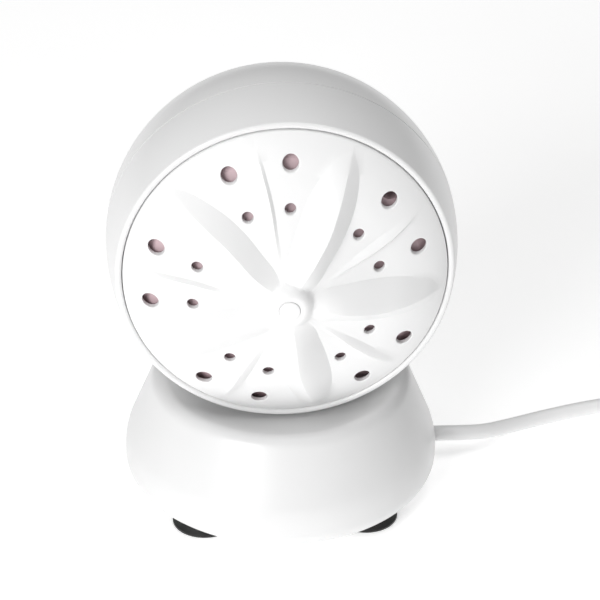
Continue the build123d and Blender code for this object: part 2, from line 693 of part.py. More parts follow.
keep("armature_core", armature_core(), HEAD)
keep("armature_windings", armature_windings(), HEAD)
keep("commutator", ring(MOTOR_SHAFT, 3.0, CAN_BACK + 0.2, -48.5), HEAD)
keep("bulkhead_screws",
     [screw(SHANK, 2.8, PLATE_FRONT, POST_FRONT - 8, 1.6, *around(POST_CIRCLE, angle))
      for angle in POST_ANGLES], HEAD)
keep("housing_screws",
     [screw(SHANK, 2.8, HEAD_SCREW_SEAT, POST_BACK + 9, 2.0, *around(POST_CIRCLE, angle))
      for angle in POST_ANGLES], HEAD)

keep("base_shell", base_shell(), BASE)
keep("base_cover", base_cover(), BASE)
keep("base_screws",
     [screw(SHANK, 2.8, BASE_SCREW_SEAT, BASE_POST_FOOT + 9, 2.0, x, y)
      for x, y in BASE_SCREWS], BASE)
keep("neck_tube", neck_tube(), BASE)
keep("neck_nut", neck_nut(), BASE)
keep("neck_washer", ring(NECK_RADIUS, 11.0, 33.15, 33.5), BASE)
for number, (x, y) in enumerate(CUP_PLACES, 1):
    keep(f"suction_cup_{number}", Pos(x, y, 0) * suction_cup(), BASE)
keep("control_board", control_board(), BASE)
keep("board_components", board_components(), BASE)
keep("cord_grommet", cord_grommet(), BASE)
keep("cord_clamp", cord_clamp(), BASE)
keep("clamp_screws", clamp_screws(), BASE)
keep("cord_tail", EXIT * rod(CORD_RADIUS, TAIL_END, GROMMET_FACE), BASE)
keep("wire_red", motor_wire(1, "red"), BASE)
keep("wire_black", motor_wire(-1, "black"), BASE)

coil = cord_coil()
coil_length()
keep("cord_coil", coil)
keep("cord_lead", tube(CORD_ROUTE, CORD_RADIUS, "cord_lead") - coil)
end_route = [end_point(-6, 7.5), end_point(12, 6.9), end_point(END_RUN, PLUG_Z)]
keep("cord_end", tube(end_route, CORD_RADIUS, "cord_end"))
keep("usb_plug_body", usb_plug_body(), PLUG)
keep("usb_plug_shell", usb_plug_shell(), PLUG)
keep("usb_plug_tongue", usb_plug_tongue(), PLUG)
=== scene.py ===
import json
import math

import bmesh
import bpy
from mathutils import Matrix, Vector
from mathutils.geometry import delaunay_2d_cdt


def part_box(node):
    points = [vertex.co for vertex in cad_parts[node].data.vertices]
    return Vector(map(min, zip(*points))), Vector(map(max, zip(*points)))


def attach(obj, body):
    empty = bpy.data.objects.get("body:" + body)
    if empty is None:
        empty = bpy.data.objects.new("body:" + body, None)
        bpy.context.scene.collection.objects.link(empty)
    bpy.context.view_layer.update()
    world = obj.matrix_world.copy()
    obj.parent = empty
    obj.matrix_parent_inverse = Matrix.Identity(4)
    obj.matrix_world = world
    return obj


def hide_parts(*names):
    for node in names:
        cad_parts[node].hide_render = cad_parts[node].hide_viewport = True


# A portable mini washer: white mouldings, a finned impeller, black suction cups and a USB lead.
# Shapes are in millimetres and become metres as they are placed. The head frame has x to the
# right, y up and z out of the face, from the centre of the impeller's front edge. The base frame
# has the main frame's directions, from the base's own axis.

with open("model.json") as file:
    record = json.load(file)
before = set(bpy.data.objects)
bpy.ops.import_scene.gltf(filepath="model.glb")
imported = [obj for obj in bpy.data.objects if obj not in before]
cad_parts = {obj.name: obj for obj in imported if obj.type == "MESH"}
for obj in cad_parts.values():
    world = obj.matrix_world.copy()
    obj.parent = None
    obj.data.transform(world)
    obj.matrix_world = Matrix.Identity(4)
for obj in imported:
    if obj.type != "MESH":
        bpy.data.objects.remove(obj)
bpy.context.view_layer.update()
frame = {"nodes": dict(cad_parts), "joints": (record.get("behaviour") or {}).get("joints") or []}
nodes = frame["nodes"]
MM = 0.001

# ---- Places, from the frame
spin = next(joint for joint in frame["joints"] if joint["name"] == "impeller_spin")
face_centre = Vector(spin["pos_m"])
base_low, base_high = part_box("base_cover")
HEAD = Matrix.Translation(face_centre) @ Matrix.Rotation(math.radians(90), 4, "X")
BASE = Matrix.Translation(((base_low.x + base_high.x) / 2, (base_low.y + base_high.y) / 2, 0))
TURN = 2 * math.pi


def add_object(name, data):
    """A new object in the scene."""
    made = bpy.data.objects.new(name, data)
    bpy.context.scene.collection.objects.link(made)
    return made


# ---- Camera
VIEW_DEPTH = 0.94297        # from the camera to the face's centre, along the view
VIEW_AZIMUTH = math.radians(-3.816)
VIEW_ELEVATION = math.radians(31.71)
VIEW_ROLL = math.radians(0.443)
FACE_RIGHT = -0.004417      # where the face's centre lies beside and above the view's middle
FACE_UP = 0.008072
LENS = 185.7                # mm, on a sensor of this width
SENSOR_WIDTH = 36


def make_camera():
    turn, tip = VIEW_AZIMUTH, VIEW_ELEVATION
    forward = Vector((-math.sin(turn) * math.cos(tip), math.cos(turn) * math.cos(tip), -math.sin(tip)))
    level = Vector((math.cos(turn), math.sin(turn), 0))
    upright = level.cross(forward)
    right = level * math.cos(VIEW_ROLL) + upright * math.sin(VIEW_ROLL)
    up = upright * math.cos(VIEW_ROLL) - level * math.sin(VIEW_ROLL)
    camera = add_object("camera", bpy.data.cameras.new("camera"))
    camera.data.lens = LENS
    camera.data.sensor_width = SENSOR_WIDTH
    place = face_centre - right * FACE_RIGHT - up * FACE_UP - forward * VIEW_DEPTH
    axes = Matrix((right, up, -forward)).transposed().to_4x4()
    camera.matrix_world = Matrix.Translation(place) @ axes
    bpy.context.scene.camera = camera


make_camera()

# ---- The free cord: out of the base, along the floor, into a flat two-layer coil
CORD_RADIUS = 2.5
CORD_ROUTE = [
    (50.17, 5.70, 7.5),
    (58.50, 5.90, 7.3),
    (66.40, 8.00, 5.8),
    (75.00, 13.40, 3.8),
    (88.00, 20.20, 2.5),
    (105.00, 25.60, 2.5),
    (123.00, 29.20, 2.5),
    (142.00, 31.60, 2.5),
    (160.00, 32.80, 2.5),
]
COIL_CENTRE = (162.6, -5.9)
COIL_OUTER = 38.75          # centre line of the outermost turn
COIL_INNER = 16.5
COIL_END_ANGLE = 30.0       # where the last turn leaves the coil, clockwise from above
COIL_POINTS = 24            # in each turn
COIL_TURNS = 9              # whole turns, besides the part of one from the route to the last turn
LAYER_RISE = 2 * CORD_RADIUS
PLUG_HEADING = -60.0
END_STEPS = ((0, 7.5), (12, 6.9), (28.0, 4.0))  # run from the coil and height, down to the plug
WELD = 0.00001              # metres; points nearer than this are one


def around(radius, degrees):
    turn = math.radians(degrees)
    return radius * math.cos(turn), radius * math.sin(turn)


def end_point(run, height):
    """A point on the straight way from the coil to the plug."""
    x, y = around(COIL_OUTER, COIL_END_ANGLE)
    step_x, step_y = around(run, PLUG_HEADING)
    return (COIL_CENTRE[0] + x + step_x, COIL_CENTRE[1] + y + step_y, height)


def coil_points():
    """The coil: a flat spiral inwards on the floor, a step up, and a spiral out on top of it."""
    last_x, last_y, _ = CORD_ROUTE[-1]
    start = math.degrees(math.atan2(last_y - COIL_CENTRE[1], last_x - COIL_CENTRE[0]))
    turns = (start - COIL_END_ANGLE) / 360 + COIL_TURNS
    layer = (COIL_OUTER - COIL_INNER) / (2 * CORD_RADIUS)
    inner_stretch = turns - 2 * layer
    reach = 1 / math.cos(math.pi / COIL_POINTS)
    count = round(turns * COIL_POINTS)
    points = []
    for number in range(1, count):
        done = turns * number / count
        if done < layer:
            radius, height = COIL_OUTER - done * 2 * CORD_RADIUS, CORD_RADIUS
        elif done < layer + inner_stretch:
            climb = (done - layer) / inner_stretch
            radius, height = COIL_INNER, CORD_RADIUS + LAYER_RISE * climb
        else:
            radius = COIL_INNER + (done - layer - inner_stretch) * 2 * CORD_RADIUS
            height = CORD_RADIUS + LAYER_RISE
        x, y = around(radius * reach, start - 360 * done)
        points.append((COIL_CENTRE[0] + x, COIL_CENTRE[1] + y, height))
    return points


def make_cord():
    """The cord's skin along a smooth line through the route, and the line's own points."""
    points = CORD_ROUTE + coil_points() + [end_point(run, height) for run, height in END_STEPS]
    curve = bpy.data.curves.new("cord", "CURVE")
    curve.dimensions = "3D"
    curve.bevel_resolution = 4
    curve.use_fill_caps = True
    curve.resolution_u = 4
    spline = curve.splines.new("NURBS")
    spline.points.add(len(points) - 1)
    for point, (x, y, z) in zip(spline.points, points):
        point.co = (x * MM, y * MM, z * MM, 1)
    spline.order_u = 3
    spline.use_endpoint_u = True
    line = bpy.data.objects.new("cord_line", curve)
    path = [tuple(vertex.co) for vertex in bpy.data.meshes.new_from_object(line).vertices]
    curve.bevel_depth = CORD_RADIUS * MM
    mesh = bpy.data.meshes.new_from_object(line)
    bpy.data.objects.remove(line)
    work = bmesh.new()
    work.from_mesh(mesh)
    bmesh.ops.remove_doubles(work, verts=work.verts, dist=WELD)
    bmesh.ops.recalc_face_normals(work, faces=work.faces)
    work.to_mesh(mesh)
    work.free()
    mesh.shade_smooth()
    cord = add_object("cord", mesh)
    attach(cord, "root")
    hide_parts("cord_lead", "cord_coil", "cord_end")
    return cord, path


cord, cord_path = make_cord()


# ---- Materials
def new_material(name, colour, roughness, metallic=0.0):
    """A material and its node tree, its shader set to one colour and gloss to begin with."""
    material = bpy.data.materials.new(name)
    material.use_nodes = True
    tree = material.node_tree
    shader = tree.nodes["Principled BSDF"]
    shader.inputs["Base Color"].default_value = (*colour, 1)
    shader.inputs["Roughness"].default_value = roughness
    shader.inputs["Metallic"].default_value = metallic
    return material, tree, shader


def noise(tree, scale, detail=3.0, stretch=(1, 1, 1)):
    """A noise over the object's own space, its features about 1 / scale metres across."""
    place = tree.nodes.new("ShaderNodeTexCoord")
    sizing = tree.nodes.new("ShaderNodeMapping")
    sizing.inputs["Scale"].default_value = stretch
    texture = tree.nodes.new("ShaderNodeTexNoise")
    texture.inputs["Scale"].default_value = scale
    texture.inputs["Detail"].default_value = detail
    tree.links.new(place.outputs["Object"], sizing.inputs["Vector"])
    tree.links.new(sizing.outputs["Vector"], texture.inputs["Vector"])
    return texture.outputs["Fac"]


def vary_colour(tree, shader, source, first, second, low=0.35, high=0.65):
    """The base colour drifts from one colour to another as a texture's value rises."""
    ramp = tree.nodes.new("ShaderNodeValToRGB")
    ramp.color_ramp.elements[0].position = low
    ramp.color_ramp.elements[0].color = (*first, 1)
    ramp.color_ramp.elements[1].position = high
    ramp.color_ramp.elements[1].color = (*second, 1)
    tree.links.new(source, ramp.inputs["Fac"])
    tree.links.new(ramp.outputs["Color"], shader.inputs["Base Color"])


def vary_roughness(tree, shader, source, low, high):
    spread = tree.nodes.new("ShaderNodeMapRange")
    spread.inputs["To Min"].default_value = low
    spread.inputs["To Max"].default_value = high
    tree.links.new(source, spread.inputs["Value"])
    tree.links.new(spread.outputs["Result"], shader.inputs["Roughness"])


def add_bump(tree, shader, source, depth):
    """A fine relief of about that depth in metres."""
    bump = tree.nodes.new("ShaderNodeBump")
    bump.inputs["Strength"].default_value = 1.0
    bump.inputs["Distance"].default_value = depth
    tree.links.new(source, bump.inputs["Height"])
    tree.links.new(bump.outputs["Normal"], shader.inputs["Normal"])


def plastic(name, colour, drift, roughness, coat=0.0, grain=2500, depth=0.00001):
    """A moulded plastic: faint flow marks in its colour and gloss, and the mould's fine texture."""
    material, tree, shader = new_material(name, colour, roughness)
    flow = noise(tree, 28, 4)
    vary_colour(tree, shader, flow, [c * (1 - drift) for c in colour], colour)
    vary_roughness(tree, shader, flow, roughness * 0.85, roughness * 1.15)
    add_bump(tree, shader, noise(tree, grain), depth)
    shader.inputs["IOR"].default_value = 1.5
    shader.inputs["Coat Weight"].default_value = coat
    shader.inputs["Coat Roughness"].default_value = 0.15
    return material


def rubber(name, colour, roughness):
    """A soft rubber with a little bloom on its surface."""
    material, tree, shader = new_material(name, colour, roughness)
    bloom = noise(tree, 120, 6)
    vary_colour(tree, shader, bloom, colour, [c * 1.8 + 0.004 for c in colour], 0.4, 0.75)
    vary_roughness(tree, shader, bloom, roughness * 0.8, roughness * 1.25)
    add_bump(tree, shader, noise(tree, 1800), 0.00002)
    shader.inputs["Sheen Weight"].default_value = 0.08
    return material


def metal(name, colour, roughness, stretch=(1, 1, 1), scale=900):
    """A machined, drawn or plated metal: fine marks along its work, and a slight tarnish."""
    material, tree, shader = new_material(name, colour, roughness, 1.0)
    marks = noise(tree, scale, 4, stretch)
    tarnish = noise(tree, 90, 5)
    vary_colour(tree, shader, tarnish, colour, [c * 0.82 for c in colour])
    vary_roughness(tree, shader, marks, roughness * 0.7, roughness * 1.3)
    add_bump(tree, shader, marks, 0.000008)
    shader.inputs["Anisotropic"].default_value = 0.25
    return material


def winding(name, colour):
    """Enamelled copper: close wires side by side."""
    material, tree, shader = new_material(name, colour, 0.3, 1.0)
    place = tree.nodes.new("ShaderNodeTexCoord")
    wires = tree.nodes.new("ShaderNodeTexWave")
    wires.bands_direction = "Y"
    wires.inputs["Scale"].default_value = 700
    wires.inputs["Distortion"].default_value = 0.6
    tree.links.new(place.outputs["Object"], wires.inputs["Vector"])
    vary_colour(tree, shader, wires.outputs["Fac"], [c * 0.35 for c in colour], colour, 0.1, 0.6)
    add_bump(tree, shader, wires.outputs["Fac"], 0.0001)
    shader.inputs["Coat Weight"].default_value = 0.6
    return material


def circuit_board(name, colour):
    """Solder resist over copper tracks."""
    material, tree, shader = new_material(name, colour, 0.35)
    place = tree.nodes.new("ShaderNodeTexCoord")
    tracks = tree.nodes.new("ShaderNodeTexBrick")
    tracks.inputs["Scale"].default_value = 160
    tracks.inputs["Mortar Size"].default_value = 0.06
    tree.links.new(place.outputs["Object"], tracks.inputs["Vector"])
    vary_colour(tree, shader, tracks.outputs["Fac"], colour, [c * 1.9 + 0.01 for c in colour], 0.2, 0.8)
    add_bump(tree, shader, tracks.outputs["Fac"], 0.00003)
    shader.inputs["Coat Weight"].default_value = 0.4
    return material


def ferrite(name, colour):
    """A sintered magnet or a carbon brush: dark, with a fine pale speckle."""
    material, tree, shader = new_material(name, colour, 0.6)
    speck = noise(tree, 5000, 2)
    vary_colour(tree, shader, speck, colour, [c * 2.5 + 0.02 for c in colour], 0.55, 0.7)
    add_bump(tree, shader, speck, 0.00003)
    return material


# by slot. A plastic has its colour, the colour's drift, its roughness and its coat, then its grain
# and the grain's depth; a rubber or a metal has its colour and roughness.
MATERIALS = {
    "white_housing": plastic("abs_white", (0.83, 0.83, 0.83), 0.015, 0.34, 0.25),
    "impeller_white": plastic("impeller_abs", (0.89, 0.89, 0.89), 0.012, 0.4, 0.15),
    "plate_mauve": plastic("plate_mauve", (0.66, 0.50, 0.53), 0.05, 0.5),
    "cup_rubber": rubber("cup_rubber", (0.010, 0.010, 0.010), 0.34),
    "seal_rubber": rubber("seal_rubber", (0.03, 0.03, 0.03), 0.5),
    "bright_steel": metal("bright_steel", (0.66, 0.66, 0.67), 0.28),
    "motor_steel": metal("motor_steel", (0.55, 0.55, 0.54), 0.36, (1, 0.1, 1)),
    "bush_bronze": metal("bush_bronze", (0.55, 0.34, 0.15), 0.42, scale=1600),
    "gear_nylon": plastic("gear_nylon", (0.72, 0.70, 0.62), 0.05, 0.45),
    "magnet_ferrite": ferrite("magnet_ferrite", (0.03, 0.03, 0.032)),
    "core_steel": metal("core_steel", (0.35, 0.35, 0.37), 0.45, (1, 12, 1)),
    "winding_copper": winding("winding_copper", (0.62, 0.25, 0.11)),
    "cap_plastic": plastic("cap_plastic", (0.035, 0.035, 0.038), 0.2, 0.45),
    "board_green": circuit_board("board_green", (0.012, 0.10, 0.035)),
    "component_black": plastic("component_black", (0.022, 0.022, 0.024), 0.25, 0.5, grain=4000),
    "cord_sheath": plastic("cord_sheath", (0.85, 0.85, 0.85), 0.03, 0.42, 0.1, 1500, 0.00002),
    "plug_white": plastic("plug_white", (0.80, 0.80, 0.80), 0.03, 0.4, 0.1, 1500, 0.00002),
    "plug_metal": metal("plug_metal", (0.70, 0.70, 0.71), 0.22, (1, 1, 0.1)),
    "wire_red": plastic("wire_red", (0.50, 0.02, 0.015), 0.1, 0.4, 0.2),
    "wire_black": plastic("wire_black", (0.015, 0.015, 0.015), 0.2, 0.4, 0.2),
}
for node in nodes.values():
    for place in node.material_slots:
        place.material = MATERIALS[place.material.name.split(".")[0]]
cord.data.materials.append(MATERIALS["cord_sheath"])


# ---- Mesh making
NEAR_ZERO = 1e-6            # millimetres
POST_SEGMENTS = 32


def placed_mesh(name, points, faces, place):
    """A mesh from points in millimetres, moved to its place."""
    mesh = bpy.data.meshes.new(name)
    mesh.from_pydata([place @ (Vector(point) * MM) for point in points], [], faces)
    return mesh


def piece(name, points, faces, place, body, slot, *stands_for, crease=35):
    """A piece of the object. Edges sharper than the crease, in degrees, stay sharp."""
    mesh = placed_mesh(name, points, faces, place)
    work = bmesh.new()
    work.from_mesh(mesh)
    bmesh.ops.recalc_face_normals(work, faces=work.faces)
    work.to_mesh(mesh)
    work.free()
    mesh.shade_smooth()
    mesh.set_sharp_from_angle(angle=math.radians(crease))
    mesh.materials.append(MATERIALS[slot])
    made = add_object(name, mesh)
    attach(made, body)
    if stands_for:
        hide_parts(*stands_for)
    return made


def strip(first, second):
    """Four-sided faces between two closed rings of points of one length."""
    count = len(first)
    return [(first[i], first[(i + 1) % count], second[(i + 1) % count], second[i]) for i in range(count)]


def rounded(*corners, steps=5):
    """A closed outline of (radius, height, round) corners, each eased over its round."""
    outline = []
    for number, corner in enumerate(corners):
        here = Vector(corner[:2])
        ease = corner[2] if len(corner) > 2 else 0
        if ease == 0:
            outline.append(tuple(here))
            continue
        before = Vector(corners[number - 1][:2])
        after = Vector(corners[(number + 1) % len(corners)][:2])
        start = here + (before - here).normalized() * ease
        end = here + (after - here).normalized() * ease
        for step in range(steps + 1):
            t = step / steps
            outline.append(tuple(start * (1 - t) ** 2 + here * 2 * t * (1 - t) + end * t * t))
    return outline


def lathe(outline, segments=192, centre=(0, 0)):
    """Points and faces of a closed outline of (radius, height) turned about Z."""
    points = []
    rings = []
    for radius, height in outline:
        if radius < NEAR_ZERO:
            rings.append([len(points)])
            points.append((centre[0], centre[1], height))
            continue
        rings.append(list(range(len(points), len(points) + segments)))
        for step in range(segments):
            turn = TURN * step / segments
            x = centre[0] + radius * math.cos(turn)
            y = centre[1] + radius * math.sin(turn)
            points.append((x, y, height))
    faces = []
    for first, second in zip(rings, rings[1:] + rings[:1]):
        if len(first) == len(second) == 1:
            continue
        if len(first) == 1:
            faces += [(first[0], second[i], second[(i + 1) % segments]) for i in range(segments)]
        elif len(second) == 1:
            faces += [(first[i], first[(i + 1) % segments], second[0]) for i in range(segments)]
        else:
            faces += strip(first, second)
    return points, faces


# ---- Impeller: a domed shell with five swirled fins, five thin ribs and twenty flow holes
FINS = 5
FIRST_FIN = 65.5            # degrees, from the right
SECTOR = 360 / FINS
# radius and height of the front between the fins
DOME = (
    (0.0, 20.9),
    (6.3, 18.9),
    (12.0, 16.9),
    (28.8, 10.9),
    (36.0, 8.5),
    (41.8, 5.8),
    (46.0, 3.2),
    (48.9, 0.8),
    (49.5, 0.0),
)
# radius, then the angles of the near foot, the crest and the far foot, and the crest's height
FIN_SECTIONS = (
    (3.0, -22, -3, 22, 0.0),
    (8.0, -29, -3, 30, 1.5),
    (12.0, -27, -3, 29, 3.6),
    (17.0, -21.5, -3.4, 22.5, 5.4),
    (25.0, -17.0, -4.0, 17, 5.9),
    (33.0, -12.3, -2.4, 13, 5.1),
    (40.0, -7.8, -1.0, 9, 3.3),
    (44.0, -4.8, -0.5, 6.5, 1.8),
    (47.0, -1.5, -0.2, 1.8, 0.25),
    (49.3, -0.6, 0, 0.6, 0.0),
)
RIB_SECTIONS = (
    (3.0, -1, 0, 1, 0.0),
    (13.0, -3, 0, 3, 0.0),
    (20.0, -3.4, -0.8, 3.4, 0.6),
    (27.0, -3.6, -1.6, 3.6, 1.35),
    (34.0, -3.0, -1.4, 3.2, 1.35),
    (40.0, -2.0, -0.6, 2.6, 0.9),
    (46.0, -1, 0, 1, 0.0),
    (49.3, -0.5, 0, 0.5, 0.0),
)
# how full the flanks before and after the crest are: 1 is straight, and more bulges
NEAR_FULL = 1.1
FAR_FULL = 1.25
GAP_STEPS = (10, 9, 4, 4, 9, 10)    # points of a ring from each key line of a sector to the next
# circle, radius and points of a hole, in each of the two rings of holes
HOLE_RINGS = ((41.6, 2.5, 40), (28.8, 1.75, 32))
HOLE_SPREAD = 13.0          # degrees to either side of a rib
HOLE_EASE = 0.3             # round of the holes' front edges
EASE_STEPS = 4
UNDER_EASE = 0.3            # bevel of the holes' edges inside
HOLE_CLEAR = 0.9            # the sheets' rings keep this far from the holes
IN_HOLE = 0.97              # part of the ease within which a triangle's middle is in the hole
IN_BORE = 0.998             # part of the first ring's radius within which it is in the hub
SHELL = 2.2
ROOF_MIDDLE = 12.0          # the inside's height at the axis, which rises this much over a reach
ROOF_RISE = 2.7
ROOF_REACH = 12.0
HUB_FLAT = 4.3              # the boss is flat this far out, and curves down to the dome
HUB_TOP = 21.9
HUB_CURVE = 0.285
HUB_BLEND = 0.5             # softness of the line where the boss meets the dome
CAP_BORE = 3.25
TOP_START = 3.6
TOP_END = 48.9
EDGE_RADIUS = 49.65
INNER_WALL = 47.0
BOSS_WALL = 5.8
SKIRT_FOOT = -3
NEAR_HUB = [3.6, 4.2, 4.7, 5.1, 5.5, 5.8, 6.1, 6.4, 6.7, 7.0, 7.4, 7.9, 8.5]   # rings of the front
FIELD_RINGS = 48            # of the front, from there to the edge
LOW_RADII = [BOSS_WALL, 8, 12, 16, 20, 24, 28, 32, 36, 40, 44, INNER_WALL]      # rings of the inside
# radius, height and round, down the cap's bore, the screw's and the shaft's, and up the boss
BORE = (
    (TOP_START, HUB_TOP),
    (CAP_BORE, HUB_TOP, 0.12),
    (CAP_BORE, 16),
    (1.6, 16),
    (1.6, 14.5),
    (2.5, 14.5),
    (2.5, 6.6, 0.3),
    (BOSS_WALL, 6.6, 0.4),
    (BOSS_WALL, 12),
)
CAP_OUTLINE = (
    (0, 18.4),
    (2.4, 18.4, 0.2),
    (3.1, 19.0, 0.2),
    (3.19, 22.3, 0.3),
    (2.2, 22.42, 0.4),
    (0, 22.47),
)


def blended(rows, radius, column):
    """A smooth curve through a table's column, between its rows."""
    radius = min(max(radius, rows[0][0]), rows[-1][0])
    at = max(i for i in range(len(rows) - 1) if rows[i][0] <= radius)

    def slope(i):
        low, high = max(i - 1, 0), min(i + 1, len(rows) - 1)
        return (rows[high][column] - rows[low][column]) / (rows[high][0] - rows[low][0])

    span = rows[at + 1][0] - rows[at][0]
    t = (radius - rows[at][0]) / span
    start, end = rows[at][column], rows[at + 1][column]
    return (start * (1 + 2 * t) * (1 - t) ** 2 + end * t * t * (3 - 2 * t)
            + slope(at) * span * t * (1 - t) ** 2 - slope(at + 1) * span * t * t * (1 - t))


def section(rows, radius):
    """The near foot, the crest, the far foot and the height at a radius."""
    return [blended(rows, radius, column) for column in range(1, 5)]


def ridge_height(rows, radius, offset):
    """How far a fin or rib stands up at an angle from its middle."""
    near, crest, far, height = section(rows, radius)
    foot, full = (near, NEAR_FULL) if offset < crest else (far, FAR_FULL)
    part = (offset - crest) / (foot - crest)
    return height * (1 - part**full) if 0 <= part < 1 else 0.0


def outside_height(x, y):
    """The impeller's front at a place, in the head frame."""
    radius = math.hypot(x, y)
    angle = math.degrees(math.atan2(y, x))
    dome = blended(DOME, radius, 1)
    from_fin = (angle - FIRST_FIN + SECTOR / 2) % SECTOR - SECTOR / 2
    from_rib = (angle - FIRST_FIN) % SECTOR - SECTOR / 2
    ridges = ridge_height(FIN_SECTIONS, radius, from_fin) + ridge_height(RIB_SECTIONS, radius, from_rib)
    surface = dome + ridges
    hub = HUB_TOP - HUB_CURVE * max(0.0, radius - HUB_FLAT) ** 2
    blend = HUB_BLEND * min(1.0, max(0.0, radius - HUB_FLAT))
    return (surface + hub + math.sqrt((surface - hub) ** 2 + blend**2)) / 2


def inside_height(radius):
    """The underside of the impeller's shell."""
    return min(blended(DOME, radius, 1) - SHELL, ROOF_MIDDLE + ROOF_RISE * radius / ROOF_REACH)


def ring_angles(radius):
    """The directions of a ring's points: some always lie on the crests and feet."""
    fin_near, fin_crest, fin_far, _ = section(FIN_SECTIONS, radius)
    rib_near, rib_crest, rib_far, _ = section(RIB_SECTIONS, radius)
    half = SECTOR / 2
    keys = (fin_crest, fin_far, half + rib_near, half + rib_crest, half + rib_far,
            SECTOR + fin_near, SECTOR + fin_crest)
    angles = []
    for fin in range(FINS):
        for start, end, steps in zip(keys, keys[1:], GAP_STEPS):
            angles += [FIRST_FIN + fin * SECTOR + start + (end - start) * i / steps for i in range(steps)]
    return angles


def hole_places():
    """The middle, radius and point count of each of the twenty holes."""
    for circle, radius, count in HOLE_RINGS:
        for number in range(FINS):
            middle = FIRST_FIN + (number + 0.5) * SECTOR
            for side in (-HOLE_SPREAD, HOLE_SPREAD):
                yield (*around(circle, middle + side), radius, count)


def circle_points(x, y, radius, count):
    return [(x + radius * math.cos(TURN * i / count), y + radius * math.sin(TURN * i / count))
            for i in range(count)]


def sheet_mesh(radii, key_lines):
    """A flat mesh of rings with the flow holes left open, its edges kept along the key lines.

    It returns its points, its triangles, the first and last rings, and each hole's ring."""
    spots = []
    edges = []
    holes = list(hole_places())

    def is_free(x, y):
        return all(math.hypot(x - hx, y - hy) > radius + HOLE_CLEAR for hx, hy, radius, _ in holes)

    rings = []
    for radius in radii:
        ring = []
        for angle in ring_angles(radius):
            x, y = around(radius, angle)
            ring.append(len(spots) if is_free(x, y) else None)
            if ring[-1] is not None:
                spots.append((x, y))
        rings.append(ring)
    for line in key_lines:
        for first, second in zip(rings, rings[1:]):
            if first[line] is not None and second[line] is not None:
                edges.append((first[line], second[line]))
    hole_rings = []
    for x, y, radius, count in holes:
        ring = list(range(len(spots), len(spots) + count))
        spots += circle_points(x, y, radius + HOLE_EASE, count)
        hole_rings.append(ring)
    for ring in [rings[0], rings[-1], *hole_rings]:
        edges += [(ring[i - 1], ring[i]) for i in range(len(ring))]
    for x, y, radius, count in holes:
        spots += circle_points(x, y, radius + (HOLE_EASE + HOLE_CLEAR) / 2, count)
    made = delaunay_2d_cdt([Vector(spot) for spot in spots], edges, [], 0, NEAR_ZERO, True)
    flat, triangles, origins = made[0], made[2], made[3]
    index = {original: new for new, group in enumerate(origins) for original in group}

    def is_shell(triangle):
        x = sum(flat[i].x for i in triangle) / 3
        y = sum(flat[i].y for i in triangle) / 3
        in_hole = any(math.hypot(x - hx, y - hy) < radius + HOLE_EASE * IN_HOLE
                      for hx, hy, radius, _ in holes)
        return math.hypot(x, y) > radii[0] * IN_BORE and not in_hole

    kept = [triangle for triangle in triangles if is_shell(triangle)]
    first = [index[i] for i in rings[0]]
    last = [index[i] for i in rings[-1]]
    return flat, kept, first, last, [[index[i] for i in ring] for ring in hole_rings]


def make_impeller():
    """The shell: its front, its inside, and the bore, the skirt and the holes that join them."""
    start = NEAR_HUB[-1]
    field = [start + (TOP_END - start) * i / FIELD_RINGS for i in range(1, FIELD_RINGS + 1)]
    key_lines = [fin * sum(GAP_STEPS) + sum(GAP_STEPS[:gap])
                 for fin in range(FINS) for gap in range(len(GAP_STEPS))]
    top, top_faces, top_first, top_last, top_holes = sheet_mesh(NEAR_HUB + field, key_lines)
    low, low_faces, low_first, low_last, low_holes = sheet_mesh(LOW_RADII, [])

    points = [(p.x, p.y, outside_height(p.x, p.y)) for p in top]
    shift = len(points)
    points += [(p.x, p.y, inside_height(p.length)) for p in low]
    faces = top_faces + [tuple(i + shift for i in face) for face in low_faces]

    def chain(first, last, corners, angles):
        """Rings of points at (radius, height) corners, joined from one ring to another."""
        nonlocal faces
        before = first
        for radius, height in corners:
            ring = list(range(len(points), len(points) + len(angles)))
            points.extend((*around(radius, angle), height) for angle in angles)
            faces += strip(before, ring)
            before = ring
        faces += strip(before, last)

    chain(top_first, [i + shift for i in low_first], rounded(*BORE)[1:], ring_angles(TOP_START))
    skirt = rounded(
        (TOP_END, outside_height(TOP_END, 0)),
        (EDGE_RADIUS, 0, 0.5),
        (EDGE_RADIUS, SKIRT_FOOT, 0.3),
        (INNER_WALL, SKIRT_FOOT, 0.3),
        (INNER_WALL, -1),
    )
    chain(top_last, [i + shift for i in low_last], skirt[1:-1], ring_angles(TOP_END))
    for (x, y, radius, count), above, below in zip(hole_places(), top_holes, low_holes):
        before = above
        for step in range(1, EASE_STEPS + 1):
            bend = math.radians(90) * step / EASE_STEPS
            out = HOLE_EASE * (1 - math.sin(bend))
            drop = HOLE_EASE * (1 - math.cos(bend))
            ring = list(range(len(points), len(points) + count))
            points += [(px, py, outside_height(px, py) - drop)
                       for px, py in circle_points(x, y, radius + out, count)]
            faces += strip(before, ring)
            before = ring
        ring = list(range(len(points), len(points) + count))
        points += [(px, py, inside_height(math.hypot(px, py)) + UNDER_EASE)
                   for px, py in circle_points(x, y, radius, count)]
        faces += strip(before, ring)
        faces += strip(ring, [i + shift for i in below])
    piece("impeller_shell", points, faces, HEAD, "impeller", "impeller_white", "impeller", crease=28)


make_impeller()
cap_points, cap_faces = lathe(rounded(*CAP_OUTLINE), segments=96)
piece("hub_button", cap_points, cap_faces, HEAD, "impeller", "impeller_white", "hub_cap")


